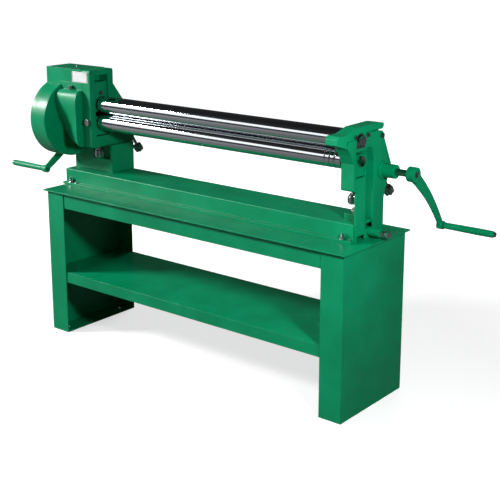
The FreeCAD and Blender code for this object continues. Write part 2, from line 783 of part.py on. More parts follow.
def right_frame():
    body = doc.addObject("PartDesign::Body", "RightFrameCasting")
    inside = "right_inside"
    outside = "right_outside"
    top = "split_z - split_gap"
    boss_front = "front_y - right_boss_front"
    corners = [
        ("right_pedestal_front", "bed_top"),
        ("right_pedestal_front", "boss_bottom"),
        (boss_front, "boss_bottom"),
        (boss_front, "lower_z - right_boss_up"),
        ("front_y - right_nose_front", "lower_z + right_nose_up"),
        ("front_y - right_head_front", "lower_z + right_head_up"),
        ("front_y - right_head_front", top),
        ("rear_y - step_front", top),
        ("rear_y - step_front", "upper_z + arch_rise - step_gap"),
        ("rear_y - step_back", "upper_z + arch_rise - step_gap"),
        ("hinge_y - hinge_flat", "upper_z + hinge_ear_radius - step_gap"),
        ("hinge_y + hinge_flat", "upper_z + hinge_ear_radius - step_gap"),
        ("hinge_y + hinge_ear_radius", "upper_z + hinge_cheek_up"),
        ("hinge_y + hinge_ear_radius", "upper_z - hinge_cheek_down"),
        ("shaft_y + haunch_back", "shaft_z + haunch_up"),
        ("shaft_y + haunch_low_back", "shaft_z - haunch_low_drop"),
        ("pedestal_back", "shaft_z - waist_drop"),
        ("pedestal_back", "bed_top"),
    ]
    pad(body, "RightWall", "YZ_Plane", inside, outside, corners)
    foot = [
        ("0 - right_foot_front", "bed_top"),
        ("pedestal_back", "bed_top"),
        ("pedestal_back", "bed_top + right_foot_thick"),
        ("0 - right_foot_front", "bed_top + right_foot_thick"),
    ]
    pad(body, "RightFoot", "YZ_Plane", f"{inside} - foot_bolt_in", outside, foot)
    cheek = [
        ("0 - cheek_front", "plate_top"),
        ("pedestal_back", "plate_top"),
        ("pedestal_back", "boss_bottom"),
        ("0 - cheek_front", "boss_bottom"),
    ]
    pad(body, "RightCheek", "YZ_Plane", f"{outside} - cheek_thick", outside, cheek)
    mouse = [
        ("0 - cheek_notch_front", "plate_top"),
        ("0 - cheek_notch_back", "plate_top"),
        ("0 - cheek_notch_back", "plate_top + cheek_notch_high"),
        ("0 - cheek_notch_front", "plate_top + cheek_notch_high"),
    ]
    pocket(body, "RightNotch", "YZ_Plane", f"{outside} - cheek_thick", outside, mouse)
    saddle = [
        ("front_y - saddle_half", "upper_z - journal_radius - saddle_thick"),
        ("front_y + saddle_half", "upper_z - journal_radius - saddle_thick"),
        ("front_y + saddle_half", "split_z"),
        ("front_y - saddle_half", "split_z"),
    ]
    pocket(body, "RightSaddleSlot", "YZ_Plane", inside, outside, saddle)
    window = [
        ("front_y - right_window / 2", "window_bottom"),
        ("front_y + right_window / 2", "window_bottom"),
        ("front_y + right_window / 2", "lower_z + right_window_up"),
        ("front_y - right_window / 2", "lower_z + right_window_up"),
    ]
    pocket(body, "RightWindow", "YZ_Plane", inside, outside, window)
    pocket(body, "RightRearSlot", "YZ_Plane", f"{inside} - over", f"{inside} + rear_pocket_depth",
           rear_slot())
    knuckle = [
        ("hinge_y - knuckle_half", "upper_z - hinge_hub_radius - over"),
        ("hinge_y + knuckle_room", "upper_z - hinge_hub_radius - over"),
        ("hinge_y + knuckle_room", "upper_z + knuckle_room"),
        ("hinge_y - knuckle_half", "upper_z + knuckle_room"),
    ]
    ear_in = f"{inside} + hinge_ear"
    ear_out = f"{outside} - hinge_ear"
    pocket(body, "RightKnuckleSlot", "YZ_Plane", ear_in, ear_out, knuckle)
    pocket(body, "RightKnuckleRound", "YZ_Plane", ear_in, ear_out,
           rings=[(("hinge_y", "upper_z"), "hinge_hub_radius + knuckle_gap")])
    pocket(body, "RightPinHole", "YZ_Plane", inside, outside,
           rings=[(("hinge_y", "upper_z"), "hinge_pin_radius")])
    recess = [
        ("front_y + recess_front", "bed_top - recess_foot"),
        ("front_y + recess_back", "bed_top - recess_foot"),
        ("front_y + recess_back", "lower_z - recess_high_drop"),
        ("front_y + recess_top_back", "lower_z + recess_top_up"),
        ("front_y + recess_front", "lower_z + recess_top_up"),
    ]
    pocket(body, "RightRecess", "YZ_Plane", f"{outside} - recess_depth", outside, recess)
    screw_x = "right_inside + right_wall / 2"
    pocket(body, "RightScrewHole", "XY_Plane", "boss_bottom", "window_bottom",
           rings=[((screw_x, "front_y"), "screw_radius + screw_gap")])
    spots = [(boss_front, "boss_bottom"), ("front_y - right_head_front", "lower_z + right_head_up")]
    soften(body, "RightRounds", "corner_round", lambda edge: along_x(edge) and near(edge, spots))
    end_boss = rod("RightEndBoss", "x", f"{outside} - cheek_thick", f"{outside} + end_boss_reach",
                   ("(bed_back - bed_front) / 2", "plate_top + end_bolt_height"), "end_boss_radius")
    finish_frame(body, "right", 1, bosses=[end_boss])


def frame_bolts():
    """Hex heads that hold both feet to the bed, and the front lock bolt."""
    tops = ("bed_top + foot_thick", "bed_top + foot_thick", "bed_top + right_foot_thick")
    columns = (
        "0 - bed_left + 1.5 * foot_bolt_in",
        "0 - left_outside - 3.5 * foot_bolt_in",
        "right_inside - foot_bolt_in / 2",
    )
    rows = ("pedestal_front + foot_bolt_in", "pedestal_back - foot_bolt_in")
    heads = []
    for x, top in zip(columns, tops):
        for y in rows:
            heads.append(hexagon(f"FootBolt{len(heads) + 1}", "z", top, f"{top} + foot_bolt_height", (x, y),
                                 "foot_bolt_across"))
    group = doc.addObject("Part::Compound", "FootBolts")
    group.Links = heads
    piece(group, "frame_bolts")
    face = "front_y - left_head_front"
    spot = ("0 - left_inside - lock_bolt_across / 2 - lock_bolt_in", "lower_z + lock_bolt_in")
    lock = hexagon("LockBolt", "y", f"{face} - lock_bolt_height", face, spot, "lock_bolt_across")
    piece(lock, "lock_bolt")


def finish_frame(body, side, sign, rooms=(), bosses=()):
    """Shaft boss, slanted screw boss and their bores, shared by both castings."""
    inside = f"{sign} * {side}_inside"
    outside = f"{sign} * {side}_outside"
    low, high = (inside, outside) if sign > 0 else (outside, inside)
    name = side.title()
    middle = f"{sign} * ({side}_inside + {side}_wall / 2)"
    boss = slide_rod(name + "ScrewBoss", middle, "0 - rear_boss_reach", "0 - rear_slot_low + over",
                     "rear_boss_radius")
    collar = rod(name + "ShaftBoss", "x", low, high, ("shaft_y", "shaft_z"), "shaft_boss_radius")
    solid = join(name + "FrameSolid", [body, boss, collar, *bosses])
    bore = rod(name + "ShaftBore", "x", f"{low} - over", f"{high} + over", ("shaft_y", "shaft_z"),
               "shaft_radius + shaft_gap")
    hole = slide_rod(name + "SlantHole", middle, "0 - rear_boss_reach - over", "0 - rear_slot_low + 2 * over",
                     "rear_screw_radius + screw_gap")
    slot_low = f"{inside} - over" if sign > 0 else f"{inside} - rear_pocket_depth"
    slot_high = f"{inside} + rear_pocket_depth" if sign > 0 else f"{inside} + over"
    way = doc.addObject("PartDesign::Body", name + "SlotTool")
    pad(way, name + "SlotToolPad", "YZ_Plane", slot_low, slot_high, rear_slot())
    piece(cut(name + "Frame", solid, [bore, hole, way, *rooms]), side + "_frame")


# Rolls

def roll_profile(start, end, journal, left_end, right_end):
    """Half profile: journals, shoulders and the ground body."""
    return [
        (left_end, "0"),
        (left_end, journal),
        (f"{start} - shoulder_length", journal),
        (f"{start} - shoulder_length", "shoulder_radius"),
        (start, "shoulder_radius"),
        (start, "roll_radius - roll_chamfer"),
        (f"{start} + roll_chamfer", "roll_radius"),
        (f"{end} - roll_chamfer", "roll_radius"),
        (end, "roll_radius - roll_chamfer"),
        (end, "shoulder_radius"),
        (f"{end} + shoulder_length", "shoulder_radius"),
        (f"{end} + shoulder_length", journal),
        (right_end, journal),
        (right_end, "0"),
    ]


def rolls():
    start = "0 - left_inside + roll_end_gap + shoulder_length"
    end = "right_inside - roll_end_gap - shoulder_length"
    right_end = "right_outside + journal_reach"
    upper = revolve("UpperRoll", roll_profile(
        start, end, "journal_radius", "0 - roll_gear_start - roll_gear_width - gear_overhang", right_end),
        ("front_y", "upper_z"))
    piece(upper, "upper_roll")
    lower = revolve("LowerRollBlank", roll_profile(
        start, end, "journal_radius", "0 - bull_gear_start - bull_gear_width - bull_overhang", right_end),
        ("front_y", "lower_z"))
    grooves = []
    for number, size in enumerate(("groove_small", "groove_middle", "groove_large")):
        groove = doc.addObject("Part::Torus", f"Groove{number + 1}")
        bind(groove, "Radius1", "roll_radius")
        bind(groove, "Radius2", size)
        groove.Placement.Rotation = FreeCAD.Rotation(FreeCAD.Vector(0, 1, 0), 90)
        bind(groove, "Placement.Base.x", f"{end} - groove_inset + ({number} - 1) * groove_pitch")
        bind(groove, "Placement.Base.y", "front_y")
        bind(groove, "Placement.Base.z", "lower_z")
        grooves.append(groove)
    piece(cut("LowerRoll", lower, grooves), "lower_roll")
    rear_start = "0 - left_inside + roll_end_gap + shoulder_length"
    depth = "rear_pocket_depth - rear_pocket_gap"
    rear = revolve("RearRoll", roll_profile(
        rear_start, end, "rear_journal_radius", f"0 - left_inside - ({depth})",
        f"right_inside + ({depth})"), ("rear_y", "rear_z"))
    piece(rear, "rear_roll")


# Bearing blocks

def lower_blocks():
    for side, sign in zip(SIDES, (-1, 1)):
        near_x = f"{side}_inside + block_side"
        far_x = f"{side}_outside - block_side"
        low, high = (near_x, far_x) if sign > 0 else (f"0 - ({far_x})", f"0 - ({near_x})")
        half = f"{side}_window / 2 - slide_gap"
        name = "Lower" + side.title()
        solid = block(name + "Solid", (low, high), (f"front_y - ({half})", f"front_y + ({half})"),
                      ("lower_block_bottom", "lower_z + lower_block_up"))
        bore = rod(name + "Bore", "x", f"{low} - over", f"{high} + over", ("front_y", "lower_z"),
                   "journal_radius + run_gap")
        middle = f"{sign} * ({side}_inside + {side}_wall / 2)"
        socket = rod(name + "Socket", "z", "lower_block_bottom - over",
                     "lower_block_bottom + screw_entry + socket_gap",
                     (middle, "front_y"), "screw_radius + screw_gap")
        piece(cut(name + "Block", solid, [bore, socket]), f"lower_{side}_block")


def upper_blocks():
    """Tall trunnion block at the gear end and open saddle at the gate end."""
    half = "left_window / 2 - slide_gap"
    middle = "0 - left_inside - left_wall / 2"
    low = f"{middle} - upper_block_width / 2"
    high = f"{middle} + upper_block_width / 2"
    solid = block("UpperLeftSolid", (low, high), (f"front_y - ({half})", f"front_y + ({half})"),
                  ("upper_z - upper_block_down", "upper_z + upper_block_up"))
    bore = rod("UpperLeftBore", "x", f"{low} - over", f"{high} + over", ("front_y", "upper_z"),
               "journal_radius + run_gap")
    piece(cut("UpperLeftBlock", solid, [bore]), "upper_left_block")
    bolt = hexagon("BlockBolt", "x", high, f"{high} + block_bolt_height",
                   ("front_y", "upper_z + block_bolt_up"), "pin_head_across")
    piece(bolt, "block_bolt")
    saddle = block("SaddleSolid", ("right_inside + saddle_in", "right_outside - saddle_in"),
                   ("front_y - saddle_half", "front_y + saddle_half"),
                   ("upper_z - journal_radius - saddle_thick", "split_z - split_gap"))
    seat = rod("SaddleSeat", "x", "right_inside", "right_outside", ("front_y", "upper_z"),
               "journal_radius + run_gap")
    mouth = block("SaddleMouth", ("right_inside", "right_outside"),
                  ("front_y - journal_radius - run_gap", "front_y + journal_radius + run_gap"),
                  ("upper_z", "split_z + over"))
    piece(cut("UpperRightSaddle", saddle, [seat, mouth]), "upper_right_saddle")


def rear_blocks():
    for side, sign in zip(SIDES, (-1, 1)):
        near_x = f"{sign} * ({side}_inside + 2)"
        far_x = f"{sign} * ({side}_inside + rear_pocket_depth - 2)"
        low, high = (near_x, far_x) if sign > 0 else (far_x, near_x)
        name = "Rear" + side.title()
        body = doc.addObject("PartDesign::Body", name + "Solid")
        corners = [
            along_slide("0 - rear_block_down", "0 - rear_block_half"),
            along_slide("0 - rear_block_down", "rear_block_half"),
            along_slide("rear_block_up", "rear_block_half"),
            along_slide("rear_block_up", "0 - rear_block_half"),
        ]
        pad(body, name + "Pad", "YZ_Plane", low, high, corners)
        pocket(body, name + "Bore", "YZ_Plane", low, high,
               rings=[(("rear_y", "rear_z"), "rear_journal_radius + run_gap")])
        middle = f"{sign} * ({side}_inside + {side}_wall / 2)"
        socket = slide_rod(name + "Socket", middle, "0 - rear_block_down - over",
                           "0 - rear_block_down + rear_screw_entry + socket_gap",
                           "rear_screw_radius + screw_gap")
        piece(cut(name + "Block", body, [socket]), f"rear_{side}_block")


# Adjusting screws with star knobs

def star(name, base_radius, height):
    """Castellated knob standing on the XY plane, notched by a polar pattern."""
    body = doc.addObject("PartDesign::Body", name)
    disc = sketch_on(body, name + "DiscSketch", "XY_Plane")
    ring(disc, ("0", "0"), base_radius)
    item = body.newObject("PartDesign::Pad", name + "Disc")
    item.Profile = disc
    bind(item, "Length", height)
    body.Tip = item
    doc.recompute()
    notch = sketch_on(body, name + "NotchSketch", "XY_Plane", height)
    ring(notch, (base_radius, "0"), "knob_notch")
    gap = body.newObject("PartDesign::Pocket", name + "Notch")
    gap.Profile = notch
    bind(gap, "Length", height)
    doc.recompute()
    pattern = body.newObject("PartDesign::PolarPattern", name + "Notches")
    pattern.Originals = [gap]
    pattern.Axis = (disc, ["N_Axis"])
    pattern.Angle = 360
    bind(pattern, "Occurrences", "knob_lobes")
    body.Tip = pattern
    return body


def lower_screws():
    for side, sign in zip(SIDES, (-1, 1)):
        name = "Lower" + side.title()
        middle = f"{sign} * ({side}_inside + {side}_wall / 2)"
        knob_low = "boss_bottom - knob_drop - knob_height / 2"
        knob_high = f"{knob_low} + knob_height"
        screw = rod(name + "Shank", "z", knob_low, "lower_block_bottom + screw_entry", (middle, "front_y"),
                    "screw_radius")
        nut = hexagon(name + "Collar", "z", knob_high, f"{knob_high} + knob_collar",
                      (middle, "front_y"), "2 * locknut_radius")
        piece(join(name + "Screw", [screw, nut]), f"lower_{side}_screw")
        knob = star(name + "Star", "knob_radius", "knob_height")
        bind(knob, "Placement.Base.x", middle)
        bind(knob, "Placement.Base.y", "front_y")
        bind(knob, "Placement.Base.z", knob_low)
        hole = rod(name + "KnobHole", "z", f"{knob_low} - over", f"{knob_high} + over", (middle, "front_y"),
                   "screw_radius")
        piece(cut(name + "Knob", knob, [hole]), f"lower_{side}_knob")


def rear_screws():
    for side, sign in zip(SIDES, (-1, 1)):
        name = "Rear" + side.title()
        middle = f"{sign} * ({side}_inside + {side}_wall / 2)"
        knob_low = "0 - rear_knob_reach - knob_height / 2"
        knob_high = f"{knob_low} + knob_height"
        screw = slide_rod(name + "Screw", middle, knob_low, "0 - rear_block_down + rear_screw_entry",
                          "rear_screw_radius")
        piece(screw, f"rear_{side}_screw")
        knob = star(name + "Star", "knob_radius", "knob_height")
        knob.Placement.Rotation = FreeCAD.Rotation(FreeCAD.Vector(1, 0, 0), 1)
        bind(knob, "Placement.Rotation.Angle", "90 - slide_angle")
        bind(knob, "Placement.Base.x", middle)
        bind(knob, "Placement.Base.y", f"rear_y - ({knob_low}) * cos(slide_angle)")
        bind(knob, "Placement.Base.z", f"rear_z + ({knob_low}) * sin(slide_angle)")
        hole = slide_rod(name + "KnobHole", middle, f"{knob_low} - over", f"{knob_high} + over",
                         "rear_screw_radius")
        piece(cut(name + "Knob", knob, [hole]), f"rear_{side}_knob")


# Gears

def involute(angle):
    return math.tan(angle) - angle


def gear_wire(module, teeth, x, y, z, gap_direction):
    """Spur gear outline in a YZ plane, with the middle of a tooth gap at gap_direction."""
    pitch = module * teeth / 2
    tip = pitch + module
    root = pitch - 1.25 * module
    pressure = math.radians(value("pressure_angle"))
    base = pitch * math.cos(pressure)
    flank_start = max(root, base)
    slack = value("backlash") / 2 / pitch

    def half_gap(radius):
        roll = math.acos(min(1.0, base / radius))
        return math.pi / (2 * teeth) + slack - involute(pressure) + involute(roll)

    def spot(radius, angle):
        return FreeCAD.Vector(x, y + radius * math.cos(angle), z + radius * math.sin(angle))

    edges = []
    middle_radius = (flank_start + tip) / 2
    step = 2 * math.pi / teeth
    for number in range(teeth):
        centre = gap_direction + number * step
        low = half_gap(flank_start)
        rise = [spot(flank_start, centre + low), spot(middle_radius, centre + half_gap(middle_radius)),
                spot(tip, centre + half_gap(tip))]
        fall = [spot(tip, centre - half_gap(tip)), spot(middle_radius, centre - half_gap(middle_radius)),
                spot(flank_start, centre - low)]
        edges.append(Part.Arc(*fall).toShape())
        if flank_start > root + 0.01:
            edges.append(Part.LineSegment(fall[2], spot(root, centre - low)).toShape())
            edges.append(Part.LineSegment(spot(root, centre - low), spot(root, centre + low)).toShape())
            edges.append(Part.LineSegment(spot(root, centre + low), rise[0]).toShape())
        else:
            edges.append(Part.LineSegment(fall[2], rise[0]).toShape())
        edges.append(Part.Arc(*rise).toShape())
        next_tip = spot(tip, centre + step - half_gap(tip))
        edges.append(Part.LineSegment(rise[2], next_tip).toShape())
    return Part.Wire(edges)


def gear_blank(label, module, teeth, start, width, centre, gap_direction, bore):
    """Toothed disc from start towards +X, bored, as a plain shape."""
    x = value(start)
    y = value(centre[0])
    z = value(centre[1])
    thick = FreeCAD.Vector(value(width), 0, 0)
    disc = Part.Face(gear_wire(module, teeth, x, y, z, gap_direction)).extrude(thick)
    hole = Part.makeCylinder(bore, value(width), FreeCAD.Vector(x, y, z), FreeCAD.Vector(1, 0, 0))
    return disc.cut(hole)


def gears():
    """Roll gears, bull gear and pinion in mesh; the bull gear leads by half the roll's drop."""
    drive_angle = math.radians(-value("drive_fall"))
    upright = math.pi / 2
    journal = value("journal_radius")
    roll_teeth = int(value("roll_gear_teeth"))
    roll_module = value("roll_gear_module")
    start = "0 - roll_gear_start - roll_gear_width"
    lower = gear_blank("lower_roll_gear", roll_module, roll_teeth, start, "roll_gear_width",
                       ("front_y", "lower_z"), upright, journal)
    half_step = math.pi / roll_teeth
    upper = gear_blank("upper_roll_gear", roll_module, roll_teeth, start, "roll_gear_width",
                       ("front_y", "upper_z"), -upright + half_step, journal)
    start = "0 - bull_gear_start - bull_gear_width"
    module = value("gear_module")
    bull_teeth = int(value("bull_teeth"))
    lead = value("lower_drop") / 2 * math.cos(drive_angle) / (module * bull_teeth / 2)
    bull = gear_blank("bull_gear", module, bull_teeth, start, "bull_gear_width",
                      ("front_y", "lower_z"), drive_angle + lead, journal)
    pinion_teeth = int(value("pinion_teeth"))
    pinion = gear_blank("drive_pinion", module, pinion_teeth, start, "bull_gear_width",
                        ("shaft_y", "shaft_z"), drive_angle + math.pi + math.pi / pinion_teeth,
                        value("shaft_radius"))
    bull = lighten(bull, module * bull_teeth / 2 - 1.25 * module)
    shapes = {"lower_roll_gear": lower, "upper_roll_gear": upper, "bull_gear": bull, "drive_pinion": pinion}
    for label, shape in shapes.items():
        item = doc.addObject("Part::Feature", label.title().replace("_", ""))
        item.Shape = shape
        piece(item, label)


def lighten(bull, root):
    """Turn the bull gear's sides down to a web with round holes between rim and hub."""
    x = value("0 - bull_gear_start - bull_gear_width")
    y = value("front_y")
    z = value("lower_z")
    width = value("bull_gear_width")
    web = value("bull_web")
    side = (width - web) / 2
    ahead = FreeCAD.Vector(1, 0, 0)
    rim_inside = root - value("bull_rim")
    hub = value("bull_hub_radius")
    for low in (x, x + width - side):
        outer = Part.makeCylinder(rim_inside, side, FreeCAD.Vector(low, y, z), ahead)
        inner = Part.makeCylinder(hub, side, FreeCAD.Vector(low, y, z), ahead)
        bull = bull.cut(outer.cut(inner))
    middle = (rim_inside + hub) / 2
    count = int(value("bull_holes"))
    for number in range(count):
        angle = 2 * math.pi * number / count
        spot = FreeCAD.Vector(x, y + middle * math.cos(angle), z + middle * math.sin(angle))
        bull = bull.cut(Part.makeCylinder(value("bull_hole_radius"), width, spot, ahead))
    return bull


# Gear housing at the left end

def bulge_wire(x, corners, inset):
    """Closed outline at x: straight back, top and bottom, and a curve through the corners."""
    low = value("boss_bottom") + inset
    high = value("upper_z + bulge_top") - inset
    back = value("front_y + left_head_back") - inset
    curve = []
    for y, z in corners:
        height = min(max(value(z), low), high)
        curve.append(FreeCAD.Vector(x, value(y) + inset, height))
    front = Part.BSplineCurve()
    front.interpolate(curve)
    rear = [FreeCAD.Vector(x, back, high), FreeCAD.Vector(x, back, low)]
    corners = [curve[-1], *rear, curve[0]]
    lines = [Part.makeLine(first, last) for first, last in zip(corners, corners[1:])]
    return Part.Wire([front.toShape(), *lines])


def bulge(name, start, end, inset):
    """Cast belly in front of the roll gears, upright at the frame and drawn in at the drum."""
    face = "front_y - bulge_front"
    ledge = ("front_y - left_head_front - bulge_ledge", "upper_z + bulge_top")
    at_frame = [
        (f"{face} + bulge_chin", "boss_bottom"),
        (f"{face} + bulge_round / 2", "boss_bottom + bulge_round / 2"),
        (face, "boss_bottom + 2 * bulge_round"),
        (face, "lower_z + bulge_round"),
        (face, "upper_z + 1.5 * bulge_round"),
        (f"{face} + bulge_round / 2", "upper_z + bulge_top - bulge_round / 2"),
        ledge,
    ]
    at_drum = [
        (f"{face} + bulge_sweep", "boss_bottom"),
        (f"{face} + 0.68 * bulge_sweep", "boss_bottom + 0.35 * bulge_sweep"),
        (f"{face} + 0.42 * bulge_sweep", "boss_bottom + 0.78 * bulge_sweep"),
        (f"{face} + 0.22 * bulge_sweep", "boss_bottom + 1.2 * bulge_sweep"),
        (f"{face} + 0.02 * bulge_sweep", "boss_bottom + 1.85 * bulge_sweep"),
        (f"{face} + bulge_round / 3", "upper_z + bulge_top - 0.7 * bulge_round"),
        ledge,
    ]
    item = doc.addObject("Part::Feature", name)
    item.Shape = Part.makeLoft([
        bulge_wire(value(start), at_drum, inset),
        bulge_wire(value(end), at_frame, inset),
    ], True, False)
    return item


def gear_case():
    """Housing over the roll gears with its cast belly, carried on the left frame."""
    low = "0 - case_end"
    high = "0 - left_outside"
    head_front = "front_y - left_head_front"
    head_back = "front_y + left_head_back"
    belly = bulge("CaseBelly", low, high, 0)
    box = block("CaseHead", (low, high), (head_front, head_back), ("upper_z", "case_top"))
    solid = join("CaseSolid", [belly, box])
    inner = bulge("CaseHollow", f"{low} + case_wall", f"{high} - case_wall", value("case_wall"))
    room = block("CaseRoom", (f"{low} + case_wall", f"{high} + over"),
                 (f"{head_front} + case_wall", f"{head_back} - case_wall"),
                 ("lower_z - left_window / 2", "case_top - case_wall"))
    shaft_hole = rod("CaseShaftHole", "x", f"{low} - over", f"{low} + case_wall + over",
                     ("front_y", "lower_z"), "journal_radius + case_hole_gap")
    piece(cut("GearCase", solid, [inner, room, shaft_hole]), "gear_case")


def drum_outline(name, low, high, radius, lobe):
    drum = rod(name + "Drum", "x", low, high, ("front_y", "lower_z"), radius)
    ear = rod(name + "Lobe", "x", low, high, ("shaft_y", "shaft_z"), lobe)
    return join(name, [drum, ear])


def gear_guard():
    """Drum guard round the bull gear and pinion, with its back plate."""
    plate_low = "0 - case_end - guard_wall"
    plate = drum_outline("BackPlateSolid", plate_low, "0 - case_end", "guard_radius", "guard_lobe")
    journal_hole = rod("BackPlateJournal", "x", f"{plate_low} - over", "0 - case_end + over",
                       ("front_y", "lower_z"), "journal_radius + case_hole_gap")
    drive_hole = rod("BackPlateShaft", "x", f"{plate_low} - over", "0 - case_end + over",
                     ("shaft_y", "shaft_z"), "shaft_radius + shaft_gap")
    piece(cut("GuardBack", plate, [journal_hole, drive_hole]), "guard_back")
    shell = drum_outline("GuardSolid", "0 - guard_end", plate_low, "guard_radius", "guard_lobe")
    room = drum_outline("GuardRoom", "0 - guard_end + guard_wall", f"{plate_low} + over",
                        "guard_radius - guard_wall", "guard_lobe - guard_wall")
    hole = rod("GuardShaftHole", "x", "0 - guard_end - over", "0 - guard_end + guard_wall + over",
               ("shaft_y", "shaft_z"), "bushing_radius - case_hole_gap")
    piece(cut("GearGuard", shell, [room, hole]), "gear_guard")


def guard_screws():
    """Hex screws round the drum's outer face."""
    heads = []
    count = int(value("guard_screws"))
    for number in range(count):
        angle = f"{number} * 360 / {count} + guard_screw_turn"
        reach = "(guard_radius - 2 * guard_screw_across)"
        spot = (f"front_y + {reach} * cos({angle})", f"lower_z + {reach} * sin({angle})")
        heads.append(hexagon(f"GuardScrew{number + 1}", "x", "0 - guard_end - guard_screw_height",
                             "0 - guard_end", spot, "guard_screw_across"))
    group = doc.addObject("Part::Compound", "GuardScrews")
    group.Links = heads
    piece(group, "guard_screws")


def top_cover():
    """Box cover over the gear case and the drum, notched to sit on both."""
    low = "0 - guard_end"
    high = "0 - left_outside"
    head_front = "front_y - left_head_front"
    head_back = "front_y + left_head_back"
    solid = block("CoverSolid", (low, high), (head_front, head_back),
                  ("case_top - cover_skirt", "left_head_top"))
    room = block("CoverRoom", (f"{low} + cover_wall", f"{high} - cover_wall"),
                 (f"{head_front} + cover_wall", f"{head_back} - cover_wall"),
                 ("case_top - cover_skirt - over", "left_head_top - cover_wall"))
    drum = rod("CoverDrum", "x", f"{low} - over", "0 - case_end", ("front_y", "lower_z"), "guard_radius")
    case = block("CoverCase", ("0 - case_end", f"{high} + over"),
                 (f"{head_front} - over", f"{head_back} + over"),
                 ("case_top - cover_skirt - over", "case_top"))
    piece(cut("TopCover", solid, [room, drum, case]), "top_cover")
    plate_x = "0 - left_outside - plate_aside"
    plate = block("Nameplate", (f"{plate_x} - plate_width / 2", f"{plate_x} + plate_width / 2"),
                  (f"{head_front} - plate_sheet", head_front),
                  ("case_top + plate_up - plate_height / 2", "case_top + plate_up + plate_height / 2"))
    piece(plate, "nameplate")
    plug = rod("TopPlug", "z", "left_head_top", "left_head_top + plug_height",
               ("plug_aside - case_end", "front_y + plug_back"), "plug_radius")
    piece(plug, "top_plug")
    cup_x = "oil_cup_aside - case_end"
    cup_y = "front_y - left_head_front - oil_cup_radius - oil_cup_gap"
    floor = "upper_z + bulge_top"
    stem = rod("OilStem", "z", f"{floor} - case_wall", f"{floor} + oil_cup_stem", (cup_x, cup_y),
               "oil_cup_radius / 2")
    cup = rod("OilBowl", "z", f"{floor} + oil_cup_stem", f"{floor} + oil_cup_stem + oil_cup_height",
              (cup_x, cup_y), "oil_cup_radius")
    belly = bulge("OilTool", "0 - case_end", "0 - left_outside", 0)
    piece(cut("OilCup", join("OilCupSolid", [stem, cup]), [belly]), "oil_cup")


# Drive shaft, bushings, cranks and grips

def bushing(side, low, high, flange_low, flange_high):
    name = side.title() + "Bushing"
    sleeve = rod(name + "Sleeve", "x", low, high, ("shaft_y", "shaft_z"), "bushing_radius")
    flange = rod(name + "Flange", "x", flange_low, flange_high, ("shaft_y", "shaft_z"), "bushing_flange")
    bore = rod(name + "Bore", "x", f"{low} - over", f"{high} + over", ("shaft_y", "shaft_z"),
               "shaft_radius + run_gap")
    piece(cut(name, join(name + "Solid", [sleeve, flange]), [bore]), side + "_bushing")


def drive():
    shaft = rod("DriveShaft", "x", "0 - left_shaft_end", "right_shaft_end", ("shaft_y", "shaft_z"),
                "shaft_radius")
    piece(shaft, "drive_shaft")
    bushing("right", "right_outside", "right_outside + bushing_length",
            "right_outside", "right_outside + flange_thick")
    bushing("left", "0 - guard_end - left_bushing_reach", "0 - guard_end",
            "0 - guard_end - flange_thick", "0 - guard_end")


def crank(side, sign, centre_x, fall):
    """Cast arm bowed to one side, with a hub on the shaft and an eye for the spindle."""
    name = side.title() + "Crank"
    y = value("shaft_y")
    z = value("shaft_z")
    x = value(centre_x)
    length = value(side + "_crank_length")
    bow = value("crank_bow")
    angle = math.radians(-value(fall)) if side == "right" else math.radians(180 + value(fall))
    ahead = FreeCAD.Vector(0, math.cos(angle), math.sin(angle))
    aside = FreeCAD.Vector(0, -math.sin(angle), math.cos(angle))
    centre = FreeCAD.Vector(x, y, z)
    stations = 7
    sections = []
    for number in range(stations):
        share = number / (stations - 1)
        swing = bow * math.sin(math.pi * share)
        spot = centre + ahead * (length * share) + aside * swing
        wide = value("arm_wide") + (value("arm_narrow") - value("arm_wide")) * share
        slope = math.pi * bow / length * math.cos(math.pi * share)
        across = (aside - ahead * slope).normalize()
        flat = FreeCAD.Vector(1, 0, 0)
        oval = Part.Ellipse(spot + across * wide, spot + flat * value("arm_thick"), spot)
        sections.append(Part.Wire([oval.toShape()]))
    arm = Part.makeLoft(sections, True, False)
    hub_width = value("hub_width")
    along = FreeCAD.Vector(1, 0, 0)
    hub = Part.makeCylinder(value("hub_radius"), hub_width, centre - along * (hub_width / 2), along)
    tip = centre + ahead * length
    eye_half = value("arm_thick + eye_over")
    eye = Part.makeCylinder(value("arm_end_radius"), 2 * eye_half, tip - along * eye_half, along)
    bore = Part.makeCylinder(value("shaft_radius"), hub_width, centre - along * (hub_width / 2), along)
    hole = Part.makeCylinder(value("spindle_radius"), 2 * eye_half, tip - along * eye_half, along)
    solid = arm.fuse([hub, eye]).cut(bore).cut(hole).removeSplitter()
    item = doc.addObject("Part::Feature", name + "Arm")
    item.Shape = solid
    piece(item, side + "_crank_arm")
    tip_y = f"{tip.y}"
    tip_z = f"{tip.z}"
    face = f"{centre_x} + {sign} * (arm_thick + eye_over)"
    grip(side, sign, centre_x, face, (tip_y, tip_z))


